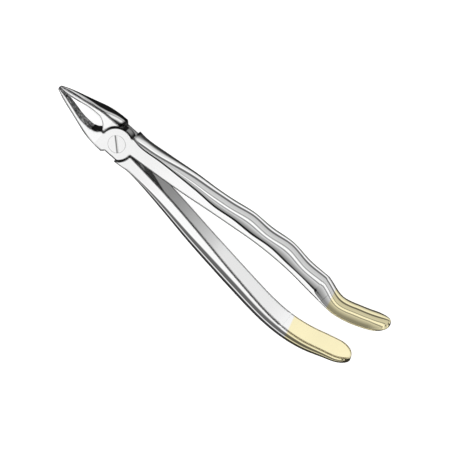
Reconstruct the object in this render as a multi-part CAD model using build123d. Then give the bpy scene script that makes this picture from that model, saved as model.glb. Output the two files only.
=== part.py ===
from build123d import *
import os
from math import atan2, cos, pi, radians, sin, sqrt

# Extraction forceps, in millimetres. +X runs along the instrument to the handles, +Y to the
# finger handle and +Z out of the face with the screw head. The pivot is the line x = y = 0,
# and z = 0 is the back face of the joint. The beaks are closed.

# lap joint
joint_depth = 11.6
middle = joint_depth / 2
over, under = joint_depth + 1, -1  # where cuts through both layers start and stop
lap_gap = 0.06  # between the two sliding faces
disc_radius = 7.6
shoulder_gap = 0.2  # between a disc and the shoulders it turns between
flank = 6.6  # half width where a half crosses the joint
half_gap = 0.06  # each half stops this far short of the plane y = 0

# screw
head_radius = 4.05
head_depth = 2.0
shank_radius = 2.4
running_clearance = 0.03
slot_width = 0.95
slot_depth = 1.0
slot_angle = -45

# beaks, as (x, value) keys
edge_half_width = [(-36, 0.45), (-35, 0.85), (-30.2, 2.4), (-26, 3.6), (-18.9, 5.5), (-13.3, 6.8),
                   (-8, 7.2), (-2, 7.2)]
bulge = [(-36, 0.15), (-35, 0.3), (-31.5, 0.8), (-26, 0.9), (-14, 0.7), (-8, 1.5), (-2, 2.0)]
edge_half_depth = [(-36, 0.45), (-35, 0.8), (-31.5, 1.7), (-26, 2.7), (-18.9, 4.0), (-13.3, 5.0),
                   (-8, 5.8), (-2, 5.8)]
axis_half_depth = [(-36, 0.4), (-35, 0.7), (-31.5, 1.4), (-26, 2.0), (-20, 1.9), (-14, 1.6),
                   (-11, 3.6), (-8, 5.8), (-2, 5.8)]
beak_stations = [-36, -35, -33, -31, -28.5, -26, -23, -20, -17, -14, -12, -10, -8, -5, -2]
window_half_width = [(-33.5, 0.0), (-31, 0.25), (-26, 1.35), (-20, 2.95), (-14.5, 3.35), (-11.6, 2.9),
                     (-9.7, 1.3), (-8.8, 0.0)]

# inserts in the beaks
insert_ends = (-35.2, -13.2)
insert_thickness = 1.1
tooth_pitch = 0.8
groove_side = 0.3

# what is cut from the root of the upper beak so that it ends on a slanting shoulder, in plan
beak_shoulder = [(-6.5, 3.0), (-2.5, 9.6), (-2.5, 14), (2, 14), (2, 3.0)]

# handles: inner face, thickness, width and turn along x, with the gold plating at the end
handle_start = 3.8
palm = {
    "side": -1,
    "end": 139.2,
    "inner": [(3.8, 0.06), (8, 0.1), (34, 2.7), (60, 6.3), (80, 9.0), (97, 10.9), (108, 10.9),
              (118, 9.4), (128, 6.4), (134, 4.6), (140, 2.6)],
    "thickness": [(3.8, 7.2), (14, 7.2), (34, 8.4), (50, 9.0), (70, 8.9), (100, 8.1), (120, 7.1),
                  (132, 5.6), (140, 4.6)],
    "width": [(3.8, 11.6), (45, 11.6), (60, 12.0), (104, 13.4), (120, 14.0), (140, 14.0)],
    "turn": [(3.8, 0), (44, 0), (59, 2.5), (69, 5), (104, 9), (120, 11), (140, 11)],
    "plated_from": 109.5,
}
finger = {
    "side": 1,
    "end": 142.8,
    "inner": [(3.8, 0.06), (8, 0.1), (34, 2.9), (60, 6.9), (76, 8.8), (92, 9.2), (108, 8.2),
              (118, 7.9), (124, 9.0), (130, 11.2), (136, 14.2), (143, 18.2)],
    "thickness": [(3.8, 7.3), (14, 7.4), (34, 9.0), (48, 8.4), (60, 8.3), (86, 8.3), (108, 8.0),
                  (118, 6.6), (130, 6.2), (143, 5.2)],
    "width": [(3.8, 11.6), (45, 11.6), (60, 12.0), (110, 12.0), (125, 12.6), (143, 12.6)],
    "turn": [(3.8, 0), (44, 0), (60, 2.5), (90, 3), (110, 4), (143, 6)],
    "plated_from": 115.0,
}
wave_pitch = 21.0
wave_height = 0.55
wave_crest = 65.6
waves_from, waves_to = 48.0, 118.0
station_step = 5.25
corner_radius = [(3.8, 0.3), (20, 0.3), (50, 0.4), (143, 0.4)]
crown_share = [(3.8, 0.02), (10, 0.05), (20, 0.2), (34, 0.5), (50, 0.8), (143, 0.88)]
end_round = 7.5
plating = 0.2


def along(keys, x):
    """Value at x on a smooth curve through (x, value) keys."""
    if x <= keys[0][0]:
        return keys[0][1]
    if x >= keys[-1][0]:
        return keys[-1][1]
    i = max(k for k in range(len(keys) - 1) if keys[k][0] <= x)
    slopes = []
    for k in (i, i + 1):
        before, after = keys[max(k - 1, 0)], keys[min(k + 1, len(keys) - 1)]
        slopes.append((after[1] - before[1]) / (after[0] - before[0]))
    (x0, v0), (x1, v1) = keys[i], keys[i + 1]
    span = x1 - x0
    f = (x - x0) / span
    return (v0 * (1 + 2 * f) * (1 - f) ** 2 + v1 * f * f * (3 - 2 * f)
            + span * (slopes[0] * f * (1 - f) ** 2 - slopes[1] * f * f * (1 - f)))


# ---- beaks, drawn on the +Y side

def beak_section(x):
    """Face across the beak at x: inner edge near y = 0, sloping faces and a bulging flank."""
    axis_depth, edge_depth = along(axis_half_depth, x), along(edge_half_depth, x)
    edge = along(edge_half_width, x)
    low_in, high_in = (x, half_gap, middle - axis_depth), (x, half_gap, middle + axis_depth)
    low_out, high_out = (x, edge, middle - edge_depth), (x, edge, middle + edge_depth)
    return Face(Wire([
        Edge.make_line(low_in, high_in),
        Edge.make_line(high_in, high_out),
        Edge.make_three_point_arc(high_out, (x, edge + along(bulge, x), middle), low_out),
        Edge.make_line(low_out, low_in),
    ]))


def window_cut(offset=0.0):
    """Prism of half the lens-shaped window between the beaks, its curve moved out by offset."""
    inner = [(x, y + offset) for x, y in window_half_width]
    curve = Spline(inner[0], *inner[1:])
    closing = Polyline(inner[-1], (inner[-1][0], -1), (inner[0][0], -1), inner[0])
    outline = make_face([*curve.edges(), *closing.edges()])
    return Pos(0, 0, under) * extrude(outline, amount=over - under)


def insert_teeth():
    """Square bars standing on edge along the working face: they cut its cross grooves."""
    start, end = insert_ends
    bars = []
    for k in range(1, round((end - start) / tooth_pitch)):
        x = start + k * tooth_pitch
        y = max(along(window_half_width, x), half_gap)
        bars.append(Pos(x, y, middle) * Rot(0, 0, 45) * Box(groove_side, groove_side, joint_depth))
    return bars


# ---- handles

def wave(x):
    """Finger waves on the outer side, faded in and out at both ends."""
    if not waves_from < x < waves_to:
        return 0.0
    fade = sqrt(sin(pi * (x - waves_from) / (waves_to - waves_from)))
    return wave_height * fade * cos(2 * pi * (x - wave_crest) / wave_pitch)


def handle_section(handle, x, inset):
    """Face across a handle at x: flat inner side, crowned outer side."""
    side, base = handle["side"], along(handle["thickness"], x)
    swell = wave(x) if side > 0 else 0.0
    thickness, width = base + swell - 2 * inset, along(handle["width"], x) - 2 * inset

    def centre(at):
        return side * (along(handle["inner"], at) + along(handle["thickness"], at) / 2)

    left = handle["end"] - inset - x
    if left < end_round:
        squeeze = sqrt(max(1 - ((end_round - left) / end_round) ** 2, 0.01))
        width *= squeeze
        thickness *= sqrt(squeeze)
    radius = min(along(corner_radius, x), thickness / 4, width / 4)
    crown = min(along(crown_share, x) * thickness, thickness - radius - 0.05)
    bow = [pi / 8 * k for k in range(-4, 5)]
    heading = atan2(centre(x + 0.5) - centre(x - 0.5), 1.0)
    turn = radians(along(handle["turn"], x))
    plane = Plane(
        origin=(x, centre(x) + side * swell / 2, middle),
        x_dir=(-sin(heading) * cos(turn), cos(heading) * cos(turn), sin(turn)),
        z_dir=(cos(heading), sin(heading), 0),
    )
    bend = radius * (1 - sqrt(0.5))

    def at(depth, across):
        """Point a depth out from the inner side, at a place across the width."""
        return plane.from_local_coords(Vector(side * (depth - thickness / 2), across))

    half = width / 2
    crest = [at(thickness - crown * (1 - cos(a)), -half * sin(a)) for a in bow]
    return Face(Wire([
        Edge.make_line(at(0, radius - half), at(0, half - radius)),
        Edge.make_three_point_arc(at(0, half - radius), at(bend, half - bend), at(radius, half)),
        Edge.make_line(at(radius, half), at(thickness - crown, half)),
        Edge.make_spline(crest),
        Edge.make_line(at(thickness - crown, -half), at(radius, -half)),
        Edge.make_three_point_arc(at(radius, -half), at(bend, bend - half), at(0, radius - half)),
    ]))


def handle_bar(handle, start, inset=0.0):
    """Closed bar of one handle from start to its rounded end, inset all round."""
    end = handle["end"] - inset
    body_end = end - end_round
    count = max(2, round((body_end - start) / station_step))
    stations = [start + (body_end - start) * k / count for k in range(count + 1)]
    stations += [body_end + end_round * sin(pi / 2 * f) for f in (0.25, 0.5, 0.75, 1.0)]
    return loft([handle_section(handle, x, inset) for x in stations])


def plated_handle(handle):
    """The handle's steel, thinner under its plating, and the plating as a closed cap."""
    start = handle["plated_from"]
    zone = Pos(start + 50, 0, middle) * Box(100, 100, 100)
    whole = handle_bar(handle, handle_start)
    core = handle_bar(handle, start - station_step, plating) & zone
    return (whole - zone) + core, (whole & zone) - core


# ---- whole halves

def layer(low, high, radius):
    """Round slab about the pivot between two heights."""
    return Pos(0, 0, (low + high) / 2) * Cylinder(radius, high - low)


def turned(shape):
    """The same shape half a turn about the instrument's axis, at mid depth."""
    return Pos(0, 0, middle) * Rot(180, 0, 0) * Pos(0, 0, -middle) * shape


def half_of(beak, handle, own_layer, other_layer, free_side):
    """One forging: a beak and a handle that cross in the lap of their own layer."""
    lap = layer(*own_layer, disc_radius)
    lap -= Pos(0, free_side * (flank + disc_radius), middle) * Box(40, 2 * disc_radius, 40)
    ends = (beak + handle) - layer(*other_layer, disc_radius + shoulder_gap)
    return ends + lap


front_layer = (middle + lap_gap / 2, joint_depth)
back_layer = (0, middle - lap_gap / 2)

shoulder_face = make_face(Polyline(*beak_shoulder, close=True).edges())
blank = loft([beak_section(x) for x in beak_stations])
blank -= Pos(0, 0, under) * extrude(shoulder_face, amount=over - under)
insert_zone = Pos(sum(insert_ends) / 2, 0, middle) * Box(insert_ends[1] - insert_ends[0], 40, 40)
pocket = window_cut(insert_thickness) & insert_zone
upper_beak = blank - window_cut() - pocket
upper_insert = (blank & pocket) - window_cut() - insert_teeth()

finger_handle, finger_plating = plated_handle(finger)
palm_handle, palm_plating = plated_handle(palm)

finger_half = half_of(turned(upper_beak), finger_handle, front_layer, (under, front_layer[0]), -1)
palm_half = half_of(upper_beak, palm_handle, back_layer, (back_layer[1], over), 1)

# screw: its head lies flush in the finger half, its shank turns there and is fast in the palm half
screw = layer(0, joint_depth, shank_radius) + layer(joint_depth - head_depth, joint_depth, head_radius)
screw -= Pos(0, 0, joint_depth) * Rot(0, 0, slot_angle) * Box(3 * head_radius, slot_width, 2 * slot_depth)
finger_half -= layer(under, over, shank_radius + running_clearance)
finger_half -= layer(joint_depth - head_depth - running_clearance, over, head_radius + running_clearance)
palm_half -= layer(under, over, shank_radius)

nodes = {
    "finger_half": finger_half,
    "palm_half": palm_half,
    "pivot_screw": screw,
    "finger_beak_insert": turned(upper_insert),
    "palm_beak_insert": upper_insert,
    "finger_handle_plating": finger_plating,
    "palm_handle_plating": palm_plating,
}

os.makedirs("parts", exist_ok=True)
for name, shape in nodes.items():
    solids = shape.solids()
    print(name, len(solids), round(sum(s.volume for s in solids), 1))
    export_step(solids[0] if len(solids) == 1 else Compound(solids), f"parts/{name}.step")
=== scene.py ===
from math import atan2, cos, pi, radians, sin, sqrt, tan

import bmesh
import bpy
from mathutils import Matrix, Vector


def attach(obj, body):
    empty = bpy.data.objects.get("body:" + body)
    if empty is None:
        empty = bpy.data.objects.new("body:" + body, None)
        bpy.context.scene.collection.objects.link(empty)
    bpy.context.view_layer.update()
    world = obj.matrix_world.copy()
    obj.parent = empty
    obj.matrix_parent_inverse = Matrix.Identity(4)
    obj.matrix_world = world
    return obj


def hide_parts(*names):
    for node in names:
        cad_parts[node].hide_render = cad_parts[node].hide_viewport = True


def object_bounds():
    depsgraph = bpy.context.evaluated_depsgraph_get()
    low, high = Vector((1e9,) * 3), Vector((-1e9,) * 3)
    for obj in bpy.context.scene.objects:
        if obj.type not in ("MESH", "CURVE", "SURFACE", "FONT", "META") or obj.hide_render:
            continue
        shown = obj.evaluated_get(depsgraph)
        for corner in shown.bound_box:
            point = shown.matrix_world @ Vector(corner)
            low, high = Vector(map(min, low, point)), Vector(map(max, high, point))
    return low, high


# Extraction forceps. Shape values are in millimetres and are scaled when a mesh is finished.
# +X runs to the handles, +Y to the finger handle, +Z out of the face with the screw head.

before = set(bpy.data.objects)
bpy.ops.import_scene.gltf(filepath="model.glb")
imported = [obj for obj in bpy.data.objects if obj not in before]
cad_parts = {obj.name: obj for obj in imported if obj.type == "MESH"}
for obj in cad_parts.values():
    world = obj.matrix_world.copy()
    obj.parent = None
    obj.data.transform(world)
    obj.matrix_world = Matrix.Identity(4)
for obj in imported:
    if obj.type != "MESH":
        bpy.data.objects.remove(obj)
cadLow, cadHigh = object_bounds()
scene = bpy.context.scene
print("frame loaded")

# a long lens looking a little down from the finger side
cameraSet = {
    "tilt": 22.5,  # degrees from straight above, towards +Y
    "roll": 41.5,  # degrees that the instrument hangs down to the right
    "aimAlong": 58.9,  # where the view is centred, along the instrument
    "aimAcross": 4.97,
    "viewWidth": 196.9,
    "lens": 300,
    "sensor": 36,
}


def addCamera(values):
    tilt, roll = radians(values["tilt"]), radians(values["roll"])
    away = Vector((0, sin(tilt), cos(tilt)))
    across = Vector((0, cos(tilt), -sin(tilt)))
    right = Vector((cos(roll), 0, 0)) + across * sin(roll)
    up = Vector((-sin(roll), 0, 0)) + across * cos(roll)
    aim = Vector((values["aimAlong"], 0, joint["depth"])) + across * values["aimAcross"]
    reach = values["viewWidth"] * values["lens"] / values["sensor"]
    place = (aim + away * reach) / 1000
    camera = bpy.data.objects.new("camera", bpy.data.cameras.new("camera"))
    camera.data.lens = values["lens"]
    camera.data.sensor_width = values["sensor"]
    camera.data.clip_end = 20
    camera.matrix_world = Matrix((
        (right.x, up.x, away.x, place.x),
        (right.y, up.y, away.y, place.y),
        (right.z, up.z, away.z, place.z),
        (0, 0, 0, 1),
    ))
    scene.collection.objects.link(camera)
    scene.camera = camera


def smoothKeys(keys, x):  # the value at x on a smooth curve through (x, value) pairs
    if x <= keys[0][0]:
        return keys[0][1]
    if x >= keys[-1][0]:
        return keys[-1][1]
    i = max(k for k in range(len(keys) - 1) if keys[k][0] <= x)
    slopes = []
    for k in (i, i + 1):
        before, after = keys[max(k - 1, 0)], keys[min(k + 1, len(keys) - 1)]
        slopes.append((after[1] - before[1]) / (after[0] - before[0]))
    (x0, v0), (x1, v1) = keys[i], keys[i + 1]
    span = x1 - x0
    f = (x - x0) / span
    blend = v0 * (1 + 2 * f) * (1 - f) ** 2 + v1 * f * f * (3 - 2 * f)
    return blend + span * (slopes[0] * f * (1 - f) ** 2 - slopes[1] * f * f * (1 - f))


def makePiece(name, bm):
    bmesh.ops.recalc_face_normals(bm, faces=bm.faces)
    for face in bm.faces:
        face.smooth = True
    mesh = bpy.data.meshes.new(name)
    bm.to_mesh(mesh)
    bm.free()
    piece = bpy.data.objects.new(name, mesh)
    scene.collection.objects.link(piece)
    return piece


def newVerts(geometry):
    return [g for g in geometry if isinstance(g, bmesh.types.BMVert)]


def bakeModifiers(piece):
    graph = bpy.context.evaluated_depsgraph_get()
    mesh = bpy.data.meshes.new_from_object(piece.evaluated_get(graph))
    piece.modifiers.clear()
    piece.data = mesh


def combine(piece, tool, operation):
    step = piece.modifiers.new("combine", "BOOLEAN")
    step.operation = operation
    step.solver = "EXACT"
    step.object = tool
    bakeModifiers(piece)
    bpy.data.objects.remove(tool)


def ringLoft(name, rings, sharpRings=()):  # a closed skin through rings of points, ends filled
    bm = bmesh.new()
    ring = bmesh.ops.create_circle(bm, cap_ends=False, segments=len(rings[0]), radius=1)["verts"]
    for vert, point in zip(ring, rings[0]):
        vert.co = point
    edges = list(bm.edges)
    firstEdges = edges
    for number, points in enumerate(rings[1:], 1):
        made = bmesh.ops.extrude_edge_only(bm, edges=edges)["geom"]
        fresh = set(newVerts(made))
        ring = [next(e.other_vert(v) for e in v.link_edges if e.other_vert(v) in fresh) for v in ring]
        for vert, point in zip(ring, points):
            vert.co = point
        edges = [g for g in made if isinstance(g, bmesh.types.BMEdge)
                 and g.verts[0] in fresh and g.verts[1] in fresh]
        if number in sharpRings:
            for edge in edges:
                edge.smooth = False
    bmesh.ops.edgeloop_fill(bm, edges=firstEdges)
    bmesh.ops.edgeloop_fill(bm, edges=edges)
    return makePiece(name, bm)


def roundSlab(name, low, high, radius, chamfer=0.0, segments=160):
    bm = bmesh.new()
    bmesh.ops.create_cone(bm, cap_ends=True, segments=segments, radius1=radius, radius2=radius,
                          depth=high - low, matrix=Matrix.Translation((0, 0, (low + high) / 2)))
    if chamfer:
        rims = [e for e in bm.edges if len(e.link_faces) == 2
                and abs(e.link_faces[0].normal.z - e.link_faces[1].normal.z) > 0.5]
        bmesh.ops.bevel(bm, geom=rims, offset=chamfer, affect="EDGES", segments=2, profile=0.5, material=-1)
    return makePiece(name, bm)


def block(name, low, high):
    bm = bmesh.new()
    bmesh.ops.create_cube(bm, size=1)
    size, centre = Vector(high) - Vector(low), (Vector(high) + Vector(low)) / 2
    bmesh.ops.scale(bm, vec=size, verts=bm.verts)
    bmesh.ops.translate(bm, vec=centre, verts=bm.verts)
    return makePiece(name, bm)


def prism(name, outline, low, high):
    bm = bmesh.new()
    foot = bm.faces.new([bm.verts.new((x, y, low)) for x, y in outline])
    made = bmesh.ops.extrude_face_region(bm, geom=[foot])["geom"]
    bmesh.ops.translate(bm, vec=(0, 0, high - low), verts=newVerts(made))
    return makePiece(name, bm)


joint = {
    "depth": 11.6,
    "middle": 5.8,
    "lapGap": 0.06,  # between the two laps
    "discRadius": 7.6,
    "shoulderGap": 0.2,  # round each disc
    "flank": 6.05,  # where a disc is ground flat on its free side
    "halfGap": 0.06,  # from the middle line to each beak
}
beak = {
    "edge": [(-36, 0.8), (-35, 1.05), (-30.2, 2.4), (-26, 3.6), (-18.9, 5.5), (-13.3, 6.8), (-8, 7.2),
             (-2, 7.2)],
    "bulge": [(-36, 0.15), (-35, 0.3), (-31.5, 0.8), (-26, 0.9), (-14, 0.7), (-8, 1.5), (-2, 2.0)],
    "edgeDepth": [(-36, 0.45), (-35, 0.8), (-31.5, 1.7), (-26, 2.7), (-18.9, 4.0), (-13.3, 5.0), (-8, 5.8),
                  (-2, 5.8)],
    "axisDepth": [(-36, 0.4), (-35, 0.7), (-31.5, 1.4), (-26, 2.0), (-20, 1.9), (-14, 1.6), (-11, 3.6),
                  (-8, 5.8), (-2, 5.8)],
    "window": [(-33.5, 0.0), (-31, 0.25), (-26, 1.35), (-20, 2.95), (-14.5, 3.35), (-11.6, 2.9), (-9.7, 1.3),
               (-8.8, 0.0)],
    "tip": -35.75,
    "tipRound": 0.5,
    "tipPlaces": [-35.75, -35.73, -35.67, -35.58, -35.45, -35.25],  # rings close together at the round tip
    "root": -2.0,
    "palmEdge": [(-36, 0.08), (-20, 0.08), (-14, 0.12), (-2, 0.12)],  # rounding along the outer edge
    "fingerEdge": [(-36, 0.08), (-20, 0.08), (-14, 0.1), (-2, 0.12)],
    "faceShares": (0.015, 0.1, 0.2, 0.3, 0.4, 0.5, 0.6, 0.7, 0.8, 0.9, 0.97),  # points over the flat face
    "flankSteps": 16,
    "insertSteps": 44,
    "rootSteps": 30,
    "shoulder": [(-6.5, 3.0), (-2.5, 9.6), (-2.5, 14), (2, 14), (2, 3.0)],  # plan cut beside the other disc
    "rootStep": [(-3.7, 7.7), (-2.3, 6.05), (3, 6.05), (3, 14), (-3.7, 14)],  # plan cut in its own lap
    "insertFrom": -35.1,
    "insertTo": -13.2,
    "insertThickness": [(-35.3, 0.12), (-33.3, 0.25), (-30, 0.34), (-13, 0.34)],
    "insertInset": 0.12,
    "toothPitch": 0.42,
    "toothRows": 16,
    "toothHeight": 0.14,
}
# Handles, by distance along. "inner" is the face towards the other handle, "turn" the twist in degrees,
# "swell" what the waves add, "crestFrom" how far out the front face stays flat, "roundness" the power of
# the crown's curve, and "facet" a narrow strip beside the front face that leans by "facetLean" degrees.
# Values called After hold past the ridge.
palm = {
    "side": -1,
    "start": 3.8,
    "end": 139.2,
    "inner": [(3.8, 0.06), (8, 0.1), (34, 2.7), (60, 6.3), (80, 9.0), (97, 10.9), (108, 10.9), (118, 9.4),
              (128, 6.4), (134, 4.6), (140, 2.6)],
    "thickness": [(3.8, 7.2), (14, 7.2), (34, 8.4), (50, 9.0), (70, 8.9), (100, 8.1), (120, 7.1), (132, 5.6),
                  (140, 4.6)],
    "width": [(3.8, 11.6), (45, 11.6), (60, 12.0), (104, 13.4), (120, 14.0), (140, 14.0)],
    "turn": [(3.8, 0), (30, 0.2), (44, 1.2), (59, 2.8), (69, 5), (104, 9), (120, 11), (140, 11)],
    "swell": [(3.8, 0), (143, 0)],
    "crestFrom": [(3.8, 7.0), (8, 6.5), (12, 5.1), (20, 4.2), (30, 3.5), (40, 3.1), (50, 2.7), (60, 2.0),
                  (80, 1.3), (140, 1.1)],
    "crestAfter": None,
    "roundness": [(3.8, 1), (143, 1)],
    "roundnessAfter": None,
    "facet": [(3.8, 0), (143, 0)],
    "facetLean": [(3.8, 5.5)],
    "facetLeanAfter": None,
    "ridge": None,
    "platedFrom": 107.2,
}
finger = {
    "side": 1,
    "start": 3.8,
    "end": 141.6,
    "inner": [(3.8, 0.06), (8, 0.1), (34, 2.9), (60, 6.9), (76, 8.8), (92, 9.2), (108, 8.2), (118, 7.9),
              (124, 9.0), (130, 11.2), (136, 14.2), (143, 18.2)],
    "thickness": [(3.8, 7.4), (8, 7.75), (14, 7.8), (34, 9.0), (48, 8.4), (60, 8.3), (86, 8.3), (108, 8.0),
                  (118, 6.6), (130, 6.2), (143, 5.2)],
    "width": [(3.8, 11.6), (45, 11.6), (60, 12.0), (110, 12.0), (125, 12.6), (143, 12.6)],
    "turn": [(3.8, 0), (44, 0), (60, 2.5), (90, 3), (110, 4), (143, 6)],
    "swell": [(48, 0), (56, 0), (65.6, 0.5), (75.5, -0.45), (86.6, 0.55), (97, -0.45), (107, 0.75)],
    "swellAfter": [(107, 0.75), (118, -0.5), (127, 0)],
    "crestFrom": [(3.8, 7.1), (10, 5.9), (20, 6.0), (30, 5.45), (40, 4.5), (50, 3.0), (60, 3.05), (70, 2.2),
                  (80, 2.7), (90, 2.15), (100, 2.35), (107, 2.3)],
    "crestAfter": [(107, 1.9), (111, 1.2), (116, 0.75), (143, 0.7)],
    "roundness": [(3.8, 1), (143, 1)],
    "roundnessAfter": [(107, 0.8), (143, 0.85)],
    "facet": [(3.8, 0.1), (8, 0.5), (30, 0.55), (50, 0.6), (75, 0.65), (95, 0.35), (107, 0.3), (110, 0.5),
              (143, 0.4)],
    "facetLean": [(3.8, 5.5), (44, 5.5), (60, 8.5), (107, 9.5)],
    "facetLeanAfter": [(107, 18), (143, 20)],
    "ridge": 107.0,
    "platedFrom": 112.6,
}
bar = {
    "cornerRadius": 0.08,
    "endRound": 7.5,
    "step": 1.3,
    "plating": 0.2,
    "platingGap": 0.05,
    "crownSteps": 16,
    "cornerSteps": 6,
    "endSteps": 14,
}


def handleOutline(handle, x, inset):  # one ring round a handle, inset from its skin
    side, base = handle["side"], smoothKeys(handle["thickness"], x)
    past = handle["ridge"] and x > handle["ridge"]
    swell = smoothKeys(handle["swellAfter" if past else "swell"], x)
    power = smoothKeys(handle["roundnessAfter" if past else "roundness"], x)
    crestFrom = smoothKeys(handle["crestAfter" if past else "crestFrom"], x)
    thickness, width = base + swell - 2 * inset, smoothKeys(handle["width"], x) - 2 * inset

    def centre(at):
        return side * (smoothKeys(handle["inner"], at) + smoothKeys(handle["thickness"], at) / 2)

    left = handle["end"] - inset - x
    if left < bar["endRound"]:
        squeeze = sqrt(max(1 - ((bar["endRound"] - left) / bar["endRound"]) ** 2, 0.0009))
        width *= squeeze
        thickness *= sqrt(squeeze)
    radius = min(bar["cornerRadius"], thickness / 4, width / 4)
    crown = min(max(base + swell - crestFrom, 0.12) * thickness / (base + swell), thickness - radius - 0.05)
    heading = atan2(centre(x + 0.5) - centre(x - 0.5), 1.0)
    turn = radians(smoothKeys(handle["turn"], x))
    origin = Vector((x, centre(x) + side * swell / 2, joint["middle"]))
    outward = Vector((-sin(heading) * cos(turn), cos(heading) * cos(turn), sin(turn)))
    upward = Vector((cos(heading), sin(heading), 0)).cross(outward)
    half = width / 2
    gap = thickness - crown - radius

    # front half of the ring as (outwards, upwards): corner, flat front face, facet, crown
    corner = []
    for k in range(bar["cornerSteps"] + 1):
        a = pi / 2 * k / bar["cornerSteps"]
        corner.append((radius * (1 - cos(a)), half - radius + radius * sin(a)))
    flat = [(radius + gap * f, half) for f in (0.03, 0.5, 0.97)]
    facet = min(smoothKeys(handle["facet"], x), crown / 3)
    lean = radians(smoothKeys(handle["facetLeanAfter" if past else "facetLean"], x))
    drop = facet * tan(lean)
    hasFacet = facet > 0.02
    if hasFacet:
        flat.append((thickness - crown + 0.02, half - 0.02 * tan(lean)))
    else:
        flat.append((thickness - crown - 0.005, half))
    begin = atan2(half, tan(lean) * crown) if hasFacet else pi / 2
    arcDepth = (crown - facet) / (1 - cos(begin) ** power)
    arcHalf = (half - drop) / sin(begin) ** power
    arc = []
    for k in range(bar["crownSteps"] + 1):
        a = begin * (1 - k / bar["crownSteps"])
        arc.append((thickness - arcDepth * (1 - cos(a) ** power), arcHalf * sin(a) ** power))
    front = corner + flat + arc

    local = [(0, (half - radius) * f) for f in (-0.98, -0.6, 0, 0.6, 0.98)]
    local += front + [(d, -c) for d, c in front[-2::-1]]
    return [origin + outward * side * (d - thickness / 2) + upward * c for d, c in local]


def stations(start, end, ridge):  # places along a handle, closer together at its round end
    bodyEnd = end - bar["endRound"]
    count = round((bodyEnd - start) / bar["step"])
    places = [start + (bodyEnd - start) * k / count for k in range(count + 1)]
    if ridge and start < ridge < bodyEnd:
        nearest = min(range(len(places)), key=lambda k: abs(places[k] - ridge))
        places[nearest] = ridge
    steps = bar["endSteps"]
    return places + [bodyEnd + bar["endRound"] * sin(pi / 2 * k / steps) for k in range(1, steps + 1)]


def handleBar(handle, name):
    start, split, end = handle["start"], handle["platedFrom"], handle["end"]
    inset = bar["plating"] + bar["platingGap"]
    body = [x for x in stations(start, end, handle["ridge"]) if x < split - 0.4] + [split]
    rings = [handleOutline(handle, x, 0) for x in body]
    rings += [handleOutline(handle, x, inset) for x in stations(split, end - inset, None)]
    sharp = [body.index(handle["ridge"])] if handle["ridge"] in body else []
    return ringLoft(name, rings, sharp + [len(body) - 1, len(body)])


def handlePlating(handle, name):  # a cup: up the inside, then back down the outside
    split, end = handle["platedFrom"], handle["end"]
    inside = stations(split, end - bar["plating"], None)[::-1]
    outside = stations(split, end, None)
    rings = [handleOutline(handle, x, bar["plating"]) for x in inside]
    rings += [handleOutline(handle, x, 0) for x in outside]
    return ringLoft(name, rings, [len(inside) - 1, len(inside)])


def beakOutline(x, inner, rounding):  # one ring round a beak, from its grip face outwards
    squeeze = 1.0
    if x < beak["tip"] + beak["tipRound"]:
        f = (beak["tip"] + beak["tipRound"] - x) / beak["tipRound"]
        squeeze = sqrt(max(1 - f * f, 0.02))
    axis = min(smoothKeys(beak["axisDepth"], x), joint["middle"]) * squeeze
    deep = min(smoothKeys(beak["edgeDepth"], x), joint["middle"]) * squeeze
    edge, bulge = smoothKeys(beak["edge"], x) * squeeze, smoothKeys(beak["bulge"], x) * squeeze
    edge = max(edge, joint["halfGap"] + 0.05)
    inner = min(inner, edge - 0.02)
    slope = (deep - axis) / (edge - joint["halfGap"])
    lift = axis + slope * (inner - joint["halfGap"])
    r = min(smoothKeys(rounding, x), edge / 4)
    points = [(inner, lift * f) for f in (-0.97, -0.5, 0, 0.5, 0.97)]
    top = []
    for f in beak["faceShares"]:
        y = inner + (edge - r - inner) * f
        top.append((y, axis + slope * (y - joint["halfGap"])))
    reach = (deep * deep + bulge * bulge) / (2 * bulge)  # radius of the flank's curve
    spread = atan2(deep, reach - bulge)
    begin = spread - r / reach

    def onFlank(a):
        return (edge + bulge - reach + reach * cos(a), reach * sin(a))

    entry = (edge - r, axis + slope * (edge - r - joint["halfGap"]))
    exitPoint = onFlank(begin)
    for k in range(7):
        f = k / 6
        top.append(tuple(entry[i] * (1 - f) ** 2 + (edge, deep)[i] * 2 * f * (1 - f) + exitPoint[i] * f * f
                         for i in (0, 1)))
    arc = [onFlank(begin * (1 - 2 * k / beak["flankSteps"])) for k in range(1, beak["flankSteps"])]
    points += top + arc + [(y, -z) for y, z in reversed(top)]
    return [Vector((x, y, joint["middle"] + z)) for y, z in points]


def beakBar(name, rounding):
    first, last = beak["insertFrom"], beak["insertTo"]
    steps, rootSteps = beak["insertSteps"], beak["rootSteps"]
    places = beak["tipPlaces"] + [first - 0.01, first]
    places += [first + (last - first) * k / steps for k in range(1, steps)] + [last, last + 0.01]
    places += [last + (beak["root"] - last) * k / rootSteps for k in range(1, rootSteps + 1)]
    rings = []
    for x in places:
        inner = max(smoothKeys(beak["window"], x), joint["halfGap"])
        if first <= x <= last:
            inner += smoothKeys(beak["insertThickness"], x)
        rings.append(beakOutline(x, inner, rounding))
    piece = ringLoft(name, rings)
    combine(piece, prism("shoulder", beak["shoulder"], joint["middle"], 13), "DIFFERENCE")
    combine(piece, prism("rootStep", beak["rootStep"], -1, joint["middle"]), "DIFFERENCE")
    return piece


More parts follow.
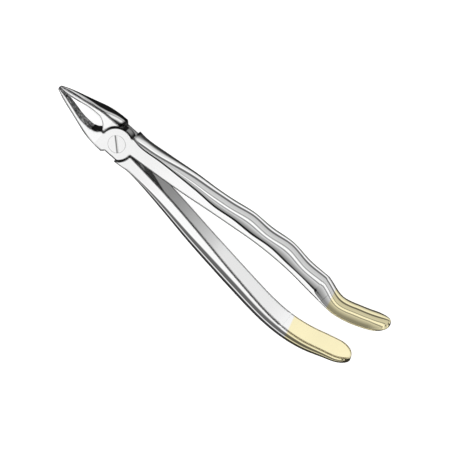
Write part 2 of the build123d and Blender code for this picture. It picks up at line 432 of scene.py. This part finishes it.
def beakInsert(name):
    first, last, pitch = beak["insertFrom"] + 0.02, beak["insertTo"] - 0.02, beak["toothPitch"]
    count = round((last - first) / pitch)
    rows = beak["toothRows"]
    rings = []
    for k in range(count + 1):
        x = first + (last - first) * k / count
        outer = max(smoothKeys(beak["window"], x), joint["halfGap"])
        full = beakOutline(x, outer, beak["palmEdge"])
        half = full[4].z - joint["middle"]
        half = max(half - beak["insertInset"], 0.2)
        back = outer + smoothKeys(beak["insertThickness"], x) - 0.02
        ring = []
        for j in range(rows + 1):
            raised = (j + k) % 2 == 0 and 0 < j < rows
            ring.append(Vector((x, outer + (0.0 if raised else beak["toothHeight"]),
                                joint["middle"] - half + 2 * half * j / rows)))
        ring += [Vector((x, back, joint["middle"] + half * f)) for f in (1, 0, -1)]
        rings.append(ring)
    piece = ringLoft(name, rings)
    for face in piece.data.polygons:
        face.use_smooth = False
    return piece


def turnOver(piece):  # half a turn about the middle of the joint, along X
    piece.data.transform(Matrix.Translation((0, 0, joint["middle"])) @ Matrix.Rotation(pi, 4, "X")
                         @ Matrix.Translation((0, 0, -joint["middle"])))


def toMetres(piece):
    piece.data.transform(Matrix.Scale(0.001, 4))


def dress(piece, material, sharpAngle):  # weld, mark the sharp edges, even out the shading, give the material
    bm = bmesh.new()
    bm.from_mesh(piece.data)
    bmesh.ops.remove_doubles(bm, verts=bm.verts, dist=0.000002)
    bmesh.ops.dissolve_degenerate(bm, dist=0.000001, edges=bm.edges)
    for edge in bm.edges:
        if len(edge.link_faces) == 2 and edge.calc_face_angle(0) > sharpAngle:
            edge.smooth = False
    bm.to_mesh(piece.data)
    bm.free()
    piece.data.materials.clear()
    piece.data.materials.append(material)
    if sharpAngle < pi:
        weighted = piece.modifiers.new("evenNormals", "WEIGHTED_NORMAL")
        weighted.keep_sharp = True
        weighted.weight = 50


def finishHalf(name, beakPiece, handlePiece, ownLayer, otherLayer, freeSide):
    piece = beakPiece
    piece.name = name
    combine(piece, handlePiece, "UNION")
    clear = roundSlab("clear", *otherLayer, joint["discRadius"] + joint["shoulderGap"])
    combine(piece, clear, "DIFFERENCE")
    disc = roundSlab("disc", *ownLayer, joint["discRadius"])
    low, high = sorted((freeSide * joint["flank"], freeSide * 30))
    combine(disc, block("flank", (-20, low, -5), (20, high, 20)), "DIFFERENCE")
    combine(piece, disc, "UNION")
    return piece


screw = {
    "headRadius": 4.05,
    "headDepth": 2.0,
    "shankRadius": 2.4,
    "clearance": 0.03,  # round the head and the turning shank
    "press": 0.005,  # round the fast end
    "slotWidth": 0.95,
    "slotDepth": 1.0,
    "slotAngle": -45,
    "chamfer": 0.1,
}


def makeScrew(name):
    top, chamfer = joint["depth"], screw["chamfer"]
    head = roundSlab(name, top - screw["headDepth"], top, screw["headRadius"], chamfer=chamfer)
    shank = roundSlab("shank", 0, top - 0.5, screw["shankRadius"], chamfer=chamfer, segments=96)
    combine(head, shank, "UNION")
    wide = screw["slotWidth"] / 2
    slot = block("slot", (-12, -wide, top - screw["slotDepth"]), (12, wide, top + 4))
    slot.data.transform(Matrix.Rotation(radians(screw["slotAngle"]), 4, "Z"))
    combine(head, slot, "DIFFERENCE")
    return head


addCamera(cameraSet)

# the halves, in millimetres
lapFront = joint["middle"] + joint["lapGap"] / 2
lapBack = joint["middle"] - joint["lapGap"] / 2
upperBeak = beakBar("palmHalf", beak["palmEdge"])
lowerBeak = beakBar("fingerHalf", beak["fingerEdge"])
turnOver(lowerBeak)
palmHalf = finishHalf("palmHalf", upperBeak, handleBar(palm, "palmBar"), (0, lapBack), (lapBack, 13), 1)
fingerHalf = finishHalf("fingerHalf", lowerBeak, handleBar(finger, "fingerBar"),
                        (lapFront, joint["depth"]), (-2, lapFront), -1)
turning = screw["shankRadius"] + screw["clearance"]
fast = screw["shankRadius"] + screw["press"]
seat = joint["depth"] - screw["headDepth"] - screw["clearance"]
combine(fingerHalf, roundSlab("bore", -2, 14, turning), "DIFFERENCE")
combine(fingerHalf, roundSlab("recess", seat, 14, screw["headRadius"] + screw["clearance"]), "DIFFERENCE")
combine(palmHalf, roundSlab("bore", -2, 14, fast), "DIFFERENCE")
print("halves shaped")

palmInsert = beakInsert("palmInsert")
fingerInsert = beakInsert("fingerInsert")
turnOver(fingerInsert)
palmPlating = handlePlating(palm, "palmPlating")
fingerPlating = handlePlating(finger, "fingerPlating")
print("inserts and plating shaped")

pivotScrew = makeScrew("pivotScrew")
print("screw shaped")

# from here on values are in metres, as the finished meshes are
steelTint = (0.96, 0.96, 0.96)
goldTint = (0.98, 0.89, 0.56)
screwTint = (0.93, 0.93, 0.93)
beyond = 1  # past every end, where no plating starts
finishes = {
    # platedFrom is where the gold starts, shellFrom where the plated piece does. The line tint, width and rim
    # values set painted shade: dark edge reflections painted into the colour.
    "palmSteel": {"tint": steelTint, "platedTint": goldTint, "platedFrom": 0.1073, "shellFrom": 0.1072,
                  "roughness": 0.05, "paintedShadeWidth": 0.0014, "paintedShadeTint": (0.01, 0.01, 0.01), "rimPaintedShade": 0},
    "fingerSteel": {"tint": steelTint, "platedTint": goldTint, "platedFrom": 0.1178, "shellFrom": 0.1126,
                    "roughness": 0.05, "paintedShadeWidth": 0.0014, "paintedShadeTint": (0.01, 0.01, 0.01), "rimPaintedShade": 0},
    "screwSteel": {"tint": screwTint, "platedTint": screwTint, "platedFrom": beyond, "shellFrom": beyond,
                   "roughness": 0.07, "paintedShadeWidth": 0.0003, "paintedShadeTint": (0.6, 0.6, 0.6), "rimPaintedShade": 1},
}
polish = {
    # the two line widths and the gold line colour below belong to the painted shade along edges, dark edge
    # reflections painted into the colour
    "sidePaintedShade": 1.8,  # how much wider the lines are on the sides
    "shellPaintedShade": 0.55,  # and on the thin plated pieces
    "acrossLean": 0.231,  # slant of the gold's edge across and in depth
    "depthLean": -0.096,
    "goldFade": 0.0005,
    "goldShift": 0.0011,
    "goldPaintedShade": (0.10, 0.07, 0.015),
    "satinTint": (0.9, 0.9, 0.9),
    "satinRough": 0.03,
    "smudgeRough": 0.02,
}


def polishedMetal(name, values):
    material = bpy.data.materials.new(name)
    material.use_nodes = True
    nodes, links = material.node_tree.nodes, material.node_tree.links
    nodes.clear()
    out = nodes.new("ShaderNodeOutputMaterial")
    out.label = "metal"
    out.location = (1300, 0)
    shader = nodes.new("ShaderNodeBsdfPrincipled")
    shader.label = "polished metal"
    shader.location = (1000, 0)
    shader.inputs["Metallic"].default_value = 1
    place = nodes.new("ShaderNodeTexCoord")
    place.label = "place on the instrument"
    place.location = (-2000, 0)
    split = nodes.new("ShaderNodeSeparateXYZ")
    split.label = "along, across, up"
    split.location = (-1800, 0)
    real = nodes.new("ShaderNodeNewGeometry")
    real.label = "surface direction"
    real.location = (-2000, -500)
    links.new(place.outputs["Object"], split.inputs[0])

    # width of the painted shade along edges: dark lines painted in where a polished edge would show a dark
    # reflection
    turned = nodes.new("ShaderNodeSeparateXYZ")
    turned.label = "facing in the piece's own axes"
    turned.location = (-1800, -300)
    lineWidth = nodes.new("ShaderNodeMapRange")
    lineWidth.label = "wider on the sides"
    lineWidth.location = (-1600, -300)
    shell = nodes.new("ShaderNodeMapRange")
    shell.label = "narrower on the plated shell"
    shell.location = (-1600, 0)
    width = nodes.new("ShaderNodeMath")
    width.label = "width of the edge lines"
    width.operation = "MULTIPLY"
    width.location = (-1400, -150)
    widthFrame = nodes.new("NodeFrame")
    widthFrame.label = "width of the edge lines"
    for node in (turned, lineWidth, shell, width):
        node.parent = widthFrame
    lineWidth.inputs["From Min"].default_value = 0.6
    lineWidth.inputs["From Max"].default_value = 0.95
    lineWidth.inputs["To Min"].default_value = values["paintedShadeWidth"]
    lineWidth.inputs["To Max"].default_value = values["paintedShadeWidth"] * polish["sidePaintedShade"]
    shell.inputs["From Min"].default_value = values["shellFrom"] - 0.002
    shell.inputs["From Max"].default_value = values["shellFrom"] - 0.001
    shell.inputs["To Min"].default_value = 1
    shell.inputs["To Max"].default_value = polish["shellPaintedShade"]
    links.new(place.outputs["Normal"], turned.inputs[0])
    links.new(turned.outputs["Y"], lineWidth.inputs["Value"])
    links.new(split.outputs["X"], shell.inputs["Value"])
    links.new(lineWidth.outputs[0], width.inputs[0])
    links.new(shell.outputs[0], width.inputs[1])

    # where the painted shade goes: the surface turns away from what a rounded edge would face, and there a
    # dark edge reflection is painted into the colour
    rounded = nodes.new("ShaderNodeBevel")
    rounded.label = "direction if edges were rounded"
    rounded.samples = 8
    rounded.location = (-1200, -300)
    handles = nodes.new("ShaderNodeMapRange")
    handles.label = "lengthwise part counts near the joint only"
    handles.location = (-1400, -700)
    weights = nodes.new("ShaderNodeCombineXYZ")
    weights.label = "weights by axis"
    weights.location = (-1200, -700)
    roundedPart = nodes.new("ShaderNodeVectorMath")
    roundedPart.label = "weigh the rounded direction"
    roundedPart.operation = "MULTIPLY"
    roundedPart.location = (-1000, -500)
    roundedUnit = nodes.new("ShaderNodeVectorMath")
    roundedUnit.label = "back to unit length"
    roundedUnit.operation = "NORMALIZE"
    roundedUnit.location = (-800, -500)
    realPart = nodes.new("ShaderNodeVectorMath")
    realPart.label = "weigh the real direction"
    realPart.operation = "MULTIPLY"
    realPart.location = (-1000, -900)
    realUnit = nodes.new("ShaderNodeVectorMath")
    realUnit.label = "back to unit length"
    realUnit.operation = "NORMALIZE"
    realUnit.location = (-800, -900)
    match = nodes.new("ShaderNodeVectorMath")
    match.label = "how well they agree"
    match.operation = "DOT_PRODUCT"
    match.location = (-600, -300)
    paintedShadeMask = nodes.new("ShaderNodeMapRange")
    paintedShadeMask.label = "edges"
    paintedShadeMask.interpolation_type = "SMOOTHSTEP"
    paintedShadeMask.location = (-400, -300)
    flatPlace = nodes.new("ShaderNodeVectorMath")
    flatPlace.label = "place in plan"
    flatPlace.operation = "MULTIPLY"
    flatPlace.location = (-1000, -1200)
    fromAxis = nodes.new("ShaderNodeVectorMath")
    fromAxis.label = "distance from the pivot"
    fromAxis.operation = "LENGTH"
    fromAxis.location = (-800, -1200)
    offRim = nodes.new("ShaderNodeMapRange")
    offRim.label = "not round the screw"
    offRim.location = (-600, -1200)
    lines = nodes.new("ShaderNodeMath")
    lines.label = "edge lines"
    lines.operation = "MULTIPLY"
    lines.location = (-200, -300)
    lineFrame = nodes.new("NodeFrame")
    lineFrame.label = "dark lines along edges"
    for node in (rounded, handles, weights, roundedPart, roundedUnit, realPart, realUnit, match, paintedShadeMask,
                 flatPlace, fromAxis, offRim, lines):
        node.parent = lineFrame
    handles.inputs["From Min"].default_value = 0.05
    handles.inputs["From Max"].default_value = 0.02
    weights.inputs["Y"].default_value = 1
    weights.inputs["Z"].default_value = 1
    paintedShadeMask.inputs["From Min"].default_value = 0.996
    paintedShadeMask.inputs["From Max"].default_value = 0.97
    flatPlace.inputs[1].default_value = (1, 1, 0)
    offRim.inputs["From Min"].default_value = 0.0052
    offRim.inputs["From Max"].default_value = 0.0056
    offRim.inputs["To Min"].default_value = values["rimPaintedShade"]
    links.new(width.outputs[0], rounded.inputs["Radius"])
    links.new(split.outputs["X"], handles.inputs["Value"])
    links.new(handles.outputs[0], weights.inputs["X"])
    links.new(rounded.outputs["Normal"], roundedPart.inputs[0])
    links.new(weights.outputs[0], roundedPart.inputs[1])
    links.new(roundedPart.outputs["Vector"], roundedUnit.inputs[0])
    links.new(real.outputs["Normal"], realPart.inputs[0])
    links.new(weights.outputs[0], realPart.inputs[1])
    links.new(realPart.outputs["Vector"], realUnit.inputs[0])
    links.new(roundedUnit.outputs["Vector"], match.inputs[0])
    links.new(realUnit.outputs["Vector"], match.inputs[1])
    links.new(match.outputs["Value"], paintedShadeMask.inputs["Value"])
    links.new(place.outputs["Object"], flatPlace.inputs[0])
    links.new(flatPlace.outputs["Vector"], fromAxis.inputs[0])
    links.new(fromAxis.outputs["Value"], offRim.inputs["Value"])
    links.new(paintedShadeMask.outputs[0], lines.inputs[0])
    links.new(offRim.outputs[0], lines.inputs[1])

    # steel, then gold past a slanted edge, with the painted shade of the edges laid over both
    acrossShare = nodes.new("ShaderNodeMath")
    acrossShare.label = "boundary leans across"
    acrossShare.operation = "MULTIPLY_ADD"
    acrossShare.location = (-1200, 500)
    upShare = nodes.new("ShaderNodeMath")
    upShare.label = "boundary leans with depth"
    upShare.operation = "MULTIPLY_ADD"
    upShare.location = (-1000, 500)
    plated = nodes.new("ShaderNodeMapRange")
    plated.label = "plated part"
    plated.interpolation_type = "SMOOTHSTEP"
    plated.location = (-800, 500)
    tint = nodes.new("ShaderNodeMix")
    tint.label = "steel to gold"
    tint.data_type = "RGBA"
    tint.location = (-500, 500)
    # colour of the painted shade along edges, near black on steel and olive-dark on gold
    paintedShadeColour = nodes.new("ShaderNodeMix")
    paintedShadeColour.label = "line colour"
    paintedShadeColour.data_type = "RGBA"
    paintedShadeColour.location = (-500, 200)
    satinTint = nodes.new("ShaderNodeMix")
    satinTint.label = "ground flats are a little greyer"
    satinTint.data_type = "RGBA"
    satinTint.location = (100, 300)
    paintedShadeOver = nodes.new("ShaderNodeMix")
    paintedShadeOver.label = "lines over the metal"
    paintedShadeOver.data_type = "RGBA"
    paintedShadeOver.location = (500, 200)
    tintFrame = nodes.new("NodeFrame")
    tintFrame.label = "steel and gold"
    for node in (acrossShare, upShare, plated, tint, paintedShadeColour, satinTint, paintedShadeOver):
        node.parent = tintFrame
    edge = values["platedFrom"] - polish["goldShift"]
    acrossShare.inputs[1].default_value = polish["acrossLean"]
    upShare.inputs[1].default_value = polish["depthLean"]
    plated.inputs["From Min"].default_value = edge - polish["goldFade"]
    plated.inputs["From Max"].default_value = edge + polish["goldFade"]
    tint.inputs["A"].default_value = (*values["tint"], 1)
    tint.inputs["B"].default_value = (*values["platedTint"], 1)
    paintedShadeColour.inputs["A"].default_value = (*values["paintedShadeTint"], 1)
    paintedShadeColour.inputs["B"].default_value = (*polish["goldPaintedShade"], 1)
    satinTint.inputs["B"].default_value = (*polish["satinTint"], 1)
    links.new(split.outputs["Y"], acrossShare.inputs[0])
    links.new(split.outputs["X"], acrossShare.inputs[2])
    links.new(split.outputs["Z"], upShare.inputs[0])
    links.new(acrossShare.outputs[0], upShare.inputs[2])
    links.new(upShare.outputs[0], plated.inputs["Value"])
    links.new(plated.outputs[0], tint.inputs["Factor"])
    links.new(plated.outputs[0], paintedShadeColour.inputs["Factor"])
    links.new(tint.outputs["Result"], satinTint.inputs["A"])
    links.new(satinTint.outputs["Result"], paintedShadeOver.inputs["A"])
    links.new(paintedShadeColour.outputs["Result"], paintedShadeOver.inputs["B"])
    links.new(lines.outputs[0], paintedShadeOver.inputs["Factor"])

    # satin on the flats that are ground at the joint
    facing = nodes.new("ShaderNodeSeparateXYZ")
    facing.label = "which way it faces"
    facing.location = (-1400, -1500)
    upward = nodes.new("ShaderNodeMath")
    upward.label = "front or back"
    upward.operation = "ABSOLUTE"
    upward.location = (-1200, -1500)
    flats = nodes.new("ShaderNodeMapRange")
    flats.label = "ground flats"
    flats.location = (-1000, -1500)
    near = nodes.new("ShaderNodeMapRange")
    near.label = "near the joint"
    near.interpolation_type = "SMOOTHSTEP"
    near.location = (-1000, -1800)
    satin = nodes.new("ShaderNodeMath")
    satin.label = "satin faces of the joint"
    satin.operation = "MULTIPLY"
    satin.location = (-800, -1500)
    satinFrame = nodes.new("NodeFrame")
    satinFrame.label = "ground flats"
    for node in (facing, upward, flats, near, satin):
        node.parent = satinFrame
    flats.inputs["From Min"].default_value = 0.9985
    flats.inputs["From Max"].default_value = 0.9995
    near.inputs["From Min"].default_value = 0.034
    near.inputs["From Max"].default_value = 0.016
    links.new(real.outputs["Normal"], facing.inputs[0])
    links.new(facing.outputs["Z"], upward.inputs[0])
    links.new(upward.outputs[0], flats.inputs["Value"])
    links.new(split.outputs["X"], near.inputs["Value"])
    links.new(flats.outputs[0], satin.inputs[0])
    links.new(near.outputs[0], satin.inputs[1])
    links.new(satin.outputs[0], satinTint.inputs["Factor"])

    # polishing marks and smudges
    stretch = nodes.new("ShaderNodeMapping")
    stretch.label = "marks run along"
    stretch.location = (-700, -2000)
    grain = nodes.new("ShaderNodeTexNoise")
    grain.label = "polishing marks"
    grain.location = (-500, -2000)
    smudge = nodes.new("ShaderNodeTexNoise")
    smudge.label = "handling smudges"
    smudge.location = (-500, -2300)
    base = nodes.new("ShaderNodeMapRange")
    base.label = "polish, a little uneven"
    base.location = (-300, -2000)
    dulled = nodes.new("ShaderNodeMath")
    dulled.label = "smudged here and there"
    dulled.operation = "MULTIPLY_ADD"
    dulled.location = (-100, -2200)
    satinRough = nodes.new("ShaderNodeMath")
    satinRough.label = "duller on the ground flats"
    satinRough.operation = "MULTIPLY_ADD"
    satinRough.location = (100, -2000)
    relief = nodes.new("ShaderNodeBump")
    relief.label = "faint marks"
    relief.location = (100, -2300)
    polishFrame = nodes.new("NodeFrame")
    polishFrame.label = "polish and smudges"
    for node in (stretch, grain, smudge, base, dulled, satinRough, relief):
        node.parent = polishFrame
    stretch.inputs["Scale"].default_value = (0.06, 1, 1)
    grain.inputs["Scale"].default_value = 900
    grain.inputs["Detail"].default_value = 4
    smudge.inputs["Scale"].default_value = 70
    smudge.inputs["Detail"].default_value = 2
    base.inputs["To Min"].default_value = values["roughness"] * 0.7
    base.inputs["To Max"].default_value = values["roughness"] * 1.3
    dulled.inputs[1].default_value = polish["smudgeRough"]
    satinRough.inputs[1].default_value = polish["satinRough"]
    relief.inputs["Strength"].default_value = 0.06
    relief.inputs["Distance"].default_value = 0.00002
    links.new(place.outputs["Object"], stretch.inputs["Vector"])
    links.new(stretch.outputs["Vector"], grain.inputs["Vector"])
    links.new(place.outputs["Object"], smudge.inputs["Vector"])
    links.new(grain.outputs["Fac"], base.inputs["Value"])
    links.new(smudge.outputs["Fac"], dulled.inputs[0])
    links.new(base.outputs[0], dulled.inputs[2])
    links.new(satin.outputs[0], satinRough.inputs[0])
    links.new(dulled.outputs[0], satinRough.inputs[2])
    links.new(grain.outputs["Fac"], relief.inputs["Height"])

    links.new(paintedShadeOver.outputs["Result"], shader.inputs["Base Color"])
    links.new(satinRough.outputs[0], shader.inputs["Roughness"])
    links.new(relief.outputs["Normal"], shader.inputs["Normal"])
    links.new(shader.outputs[0], out.inputs["Surface"])
    return material


grit = {
    "scale": 1500,
    "clumpScale": 700,
    "tones": ((0.12, 0.02), (0.42, 0.8)),  # place on the ramp and grey of the dark and the glinting grains
    "roughness": 0.5,
}


def grittyCarbide(name, values):
    material = bpy.data.materials.new(name)
    material.use_nodes = True
    nodes, links = material.node_tree.nodes, material.node_tree.links
    nodes.clear()
    out = nodes.new("ShaderNodeOutputMaterial")
    out.label = "grip face"
    out.location = (500, 0)
    shader = nodes.new("ShaderNodeBsdfPrincipled")
    shader.label = "sintered carbide"
    shader.location = (200, 0)
    place = nodes.new("ShaderNodeTexCoord")
    place.label = "place on the insert"
    place.location = (-1000, 0)
    grains = nodes.new("ShaderNodeTexVoronoi")
    grains.label = "grit"
    grains.location = (-800, 100)
    clump = nodes.new("ShaderNodeTexNoise")
    clump.label = "clumps of grit"
    clump.location = (-800, -200)
    both = nodes.new("ShaderNodeMath")
    both.label = "grit in clumps"
    both.operation = "MULTIPLY"
    both.location = (-600, 0)
    tones = nodes.new("ShaderNodeValToRGB")
    tones.label = "dark and glinting grains"
    tones.location = (-400, 0)
    relief = nodes.new("ShaderNodeBump")
    relief.label = "grain relief"
    relief.location = (-100, -300)
    grainFrame = nodes.new("NodeFrame")
    grainFrame.label = "grains"
    for node in (grains, clump, both, tones, relief):
        node.parent = grainFrame
    shader.inputs["Metallic"].default_value = 1
    shader.inputs["Roughness"].default_value = values["roughness"]
    grains.inputs["Scale"].default_value = values["scale"]
    clump.inputs["Scale"].default_value = values["clumpScale"]
    clump.inputs["Detail"].default_value = 3
    for element, (at, grey) in zip(tones.color_ramp.elements, values["tones"]):
        element.position = at
        element.color = (grey, grey, grey, 1)
    relief.inputs["Strength"].default_value = 0.4
    relief.inputs["Distance"].default_value = 0.0001
    links.new(place.outputs["Object"], grains.inputs["Vector"])
    links.new(place.outputs["Object"], clump.inputs["Vector"])
    links.new(grains.outputs["Distance"], both.inputs[0])
    links.new(clump.outputs["Fac"], both.inputs[1])
    links.new(both.outputs[0], tones.inputs["Fac"])
    links.new(tones.outputs["Color"], shader.inputs["Base Color"])
    links.new(grains.outputs["Distance"], relief.inputs["Height"])
    links.new(relief.outputs["Normal"], shader.inputs["Normal"])
    links.new(shader.outputs[0], out.inputs["Surface"])
    return material


palmSteel = polishedMetal("palmSteel", finishes["palmSteel"])
fingerSteel = polishedMetal("fingerSteel", finishes["fingerSteel"])
screwSteel = polishedMetal("screwSteel", finishes["screwSteel"])
insertCarbide = grittyCarbide("insertCarbide", grit)
print("materials ready")

for piece in (palmHalf, fingerHalf, pivotScrew, palmInsert, fingerInsert, palmPlating, fingerPlating):
    toMetres(piece)
for piece in (palmHalf, palmPlating):
    dress(piece, palmSteel, radians(35))
for piece in (fingerHalf, fingerPlating):
    dress(piece, fingerSteel, radians(35))
for piece in (palmInsert, fingerInsert):
    dress(piece, insertCarbide, pi)
dress(pivotScrew, screwSteel, radians(35))

for piece, node, body, slot in (
    (palmHalf, "palm_half", "palm_side", "polished_steel"),
    (fingerHalf, "finger_half", "finger_side", "polished_steel"),
    (pivotScrew, "pivot_screw", "palm_side", "screw_steel"),
    (palmInsert, "palm_beak_insert", "palm_side", "insert_carbide"),
    (fingerInsert, "finger_beak_insert", "finger_side", "insert_carbide"),
    (palmPlating, "palm_handle_plating", "palm_side", "pale_gold"),
    (fingerPlating, "finger_handle_plating", "finger_side", "pale_gold"),
):
    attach(piece, body)
    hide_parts(node)
print("pieces on their bodies")

studio = {
    # grey met in each direction round the instrument's axis, in degrees: 0 is above, + towards +Y
    "sky": [(-96, 0.04), (-92, 0.5), (-89, 0.95), (-84, 0.95), (-80, 0.22), (-76, 0.12), (-52, 0.14),
            (-48, 0.7), (-44, 1.0), (-20.5, 1.0), (-18, 0.5), (-16, 0.01), (-7, 0.01), (-4, 0.25), (27, 0.7),
            (29.5, 0.2), (34, 0.2), (37, 1.0), (54, 1.0), (57, 0.2), (61, 0.2), (64, 0.66), (101, 0.6),
            (106, 0.13), (122, 0.15), (130, 1.0), (137, 1.0), (140, 0.86), (150, 0.8), (154.5, 0.5),
            (158, 0.2), (163, 0.04)],
    "strength": 1.0,
}


def makeWorld(values):
    world = bpy.data.worlds.new("studio")
    scene.world = world
    world.use_nodes = True
    nodes, links = world.node_tree.nodes, world.node_tree.links
    nodes.clear()
    place = nodes.new("ShaderNodeTexCoord")
    place.label = "direction"
    place.location = (-1200, 0)
    split = nodes.new("ShaderNodeSeparateXYZ")
    split.label = "direction by axis"
    split.location = (-1000, 0)
    angle = nodes.new("ShaderNodeMath")
    angle.label = "angle round the instrument"
    angle.operation = "ARCTAN2"
    angle.location = (-800, 0)
    share = nodes.new("ShaderNodeMapRange")
    share.label = "whole turn as 0 to 1"
    share.location = (-600, 0)
    strips = nodes.new("ShaderNodeValToRGB")
    strips.label = "light and dark strips"
    strips.location = (-400, 0)
    light = nodes.new("ShaderNodeBackground")
    light.label = "surrounding light"
    light.location = (100, 0)
    stripFrame = nodes.new("NodeFrame")
    stripFrame.label = "strips round the instrument"
    for node in (split, angle, share, strips, light):
        node.parent = stripFrame
    plain = nodes.new("ShaderNodeBackground")
    plain.label = "plain white backdrop"
    plain.location = (100, -200)
    path = nodes.new("ShaderNodeLightPath")
    path.label = "seen or reflected"
    path.location = (100, 300)
    mix = nodes.new("ShaderNodeMixShader")
    mix.label = "backdrop or strips"
    mix.location = (300, 0)
    out = nodes.new("ShaderNodeOutputWorld")
    out.label = "studio"
    out.location = (500, 0)
    share.inputs["From Min"].default_value = -pi
    share.inputs["From Max"].default_value = pi
    while len(strips.color_ramp.elements) < len(values["sky"]):
        strips.color_ramp.elements.new(1)
    for element, (degrees, grey) in zip(strips.color_ramp.elements, values["sky"]):
        element.position = (degrees + 180) / 360
        element.color = (grey, grey, grey, 1)
    light.inputs["Strength"].default_value = values["strength"]
    plain.inputs["Color"].default_value = (1, 1, 1, 1)
    links.new(place.outputs["Generated"], split.inputs[0])
    links.new(split.outputs["Y"], angle.inputs[0])
    links.new(split.outputs["Z"], angle.inputs[1])
    links.new(angle.outputs[0], share.inputs["Value"])
    links.new(share.outputs[0], strips.inputs["Fac"])
    links.new(strips.outputs["Color"], light.inputs["Color"])
    links.new(path.outputs["Is Camera Ray"], mix.inputs["Fac"])
    links.new(light.outputs[0], mix.inputs[1])
    links.new(plain.outputs[0], mix.inputs[2])
    links.new(mix.outputs[0], out.inputs["Surface"])


ground = {
    "reach": 1.5,
    "below": 0.0003,
    "grey": 0.95,
    "roughness": 0.9,
    "glow": 0.8,  # keeps the floor as pale as the backdrop
}


def makeFloor(values):
    bm = bmesh.new()
    bmesh.ops.create_grid(bm, x_segments=1, y_segments=1, size=values["reach"])
    bmesh.ops.translate(bm, vec=(0.05, 0, cadLow.z - values["below"]), verts=bm.verts)
    mesh = bpy.data.meshes.new("floor")
    bm.to_mesh(mesh)
    bm.free()
    floorPlane = bpy.data.objects.new("floor", mesh)
    scene.collection.objects.link(floorPlane)
    material = bpy.data.materials.new("floorPaint")
    material.use_nodes = True
    nodes, links = material.node_tree.nodes, material.node_tree.links
    nodes.clear()
    shader = nodes.new("ShaderNodeBsdfPrincipled")
    shader.label = "matt white paint"
    shader.location = (0, 0)
    out = nodes.new("ShaderNodeOutputMaterial")
    out.label = "floor"
    out.location = (300, 0)
    shader.inputs["Base Color"].default_value = (values["grey"], values["grey"], values["grey"], 1)
    shader.inputs["Roughness"].default_value = values["roughness"]
    shader.inputs["Emission Color"].default_value = (1, 1, 1, 1)
    shader.inputs["Emission Strength"].default_value = values["glow"]
    links.new(shader.outputs[0], out.inputs["Surface"])
    mesh.materials.append(material)
    floorPlane.visible_glossy = False


hood = {
    # grey on a card bent round the beaks, by the same angle
    "strips": [(-104, 0.01), (-94, 0.12), (-86, 0.75), (-79, 1.0), (34, 1.0), (40, 0.5), (60, 0.05),
               (98, 0.05), (104, 0.6), (110, 0.95), (121, 0.7), (124, 0.1), (127, 0.7), (134, 0.45),
               (137, 0.01)],
    "radius": 0.045,
    "from": -0.085,
    "to": -0.005,
}


def makeHood(values):
    height = joint["middle"] / 1000
    bm = bmesh.new()
    turn = Matrix.Rotation(pi / 2, 4, "Y")
    bmesh.ops.create_circle(bm, cap_ends=False, segments=96, radius=values["radius"], matrix=turn)
    bmesh.ops.translate(bm, vec=(values["from"], 0, height), verts=bm.verts)
    made = bmesh.ops.extrude_edge_only(bm, edges=bm.edges)["geom"]
    bmesh.ops.translate(bm, vec=(values["to"] - values["from"], 0, 0), verts=newVerts(made))
    mesh = bpy.data.meshes.new("beakCard")
    bm.to_mesh(mesh)
    bm.free()
    card = bpy.data.objects.new("beakCard", mesh)
    scene.collection.objects.link(card)
    material = bpy.data.materials.new("cardLight")
    material.use_nodes = True
    nodes, links = material.node_tree.nodes, material.node_tree.links
    nodes.clear()
    place = nodes.new("ShaderNodeTexCoord")
    place.label = "place on the card"
    place.location = (-1200, 0)
    centre = nodes.new("ShaderNodeMapping")
    centre.label = "from the instrument's axis"
    centre.location = (-1000, 0)
    split = nodes.new("ShaderNodeSeparateXYZ")
    split.label = "across and up"
    split.location = (-800, 0)
    angle = nodes.new("ShaderNodeMath")
    angle.label = "angle round the instrument"
    angle.operation = "ARCTAN2"
    angle.location = (-600, 0)
    share = nodes.new("ShaderNodeMapRange")
    share.label = "whole turn as 0 to 1"
    share.location = (-400, 0)
    strips = nodes.new("ShaderNodeValToRGB")
    strips.label = "light and dark strips"
    strips.location = (-200, 0)
    stripFrame = nodes.new("NodeFrame")
    stripFrame.label = "strips round the beaks"
    for node in (centre, split, angle, share, strips):
        node.parent = stripFrame
    glow = nodes.new("ShaderNodeEmission")
    glow.label = "card lit evenly"
    glow.location = (100, 0)
    out = nodes.new("ShaderNodeOutputMaterial")
    out.label = "card"
    out.location = (300, 0)
    centre.inputs["Location"].default_value = (0, 0, -height)
    share.inputs["From Min"].default_value = -pi
    share.inputs["From Max"].default_value = pi
    while len(strips.color_ramp.elements) < len(values["strips"]):
        strips.color_ramp.elements.new(1)
    for element, (degrees, grey) in zip(strips.color_ramp.elements, values["strips"]):
        element.position = (degrees + 180) / 360
        element.color = (grey, grey, grey, 1)
    links.new(place.outputs["Object"], centre.inputs["Vector"])
    links.new(centre.outputs["Vector"], split.inputs[0])
    links.new(split.outputs["Y"], angle.inputs[0])
    links.new(split.outputs["Z"], angle.inputs[1])
    links.new(angle.outputs[0], share.inputs["Value"])
    links.new(share.outputs[0], strips.inputs["Fac"])
    links.new(strips.outputs["Color"], glow.inputs["Color"])
    links.new(glow.outputs[0], out.inputs["Surface"])
    mesh.materials.append(material)
    card.visible_camera = False  # only reflections meet the card
    card.visible_diffuse = False
    card.visible_shadow = False
    card.visible_transmission = False
    card.visible_volume_scatter = False


makeWorld(studio)
makeFloor(ground)
makeHood(hood)
scene.view_settings.view_transform = "Standard"
print("studio ready")
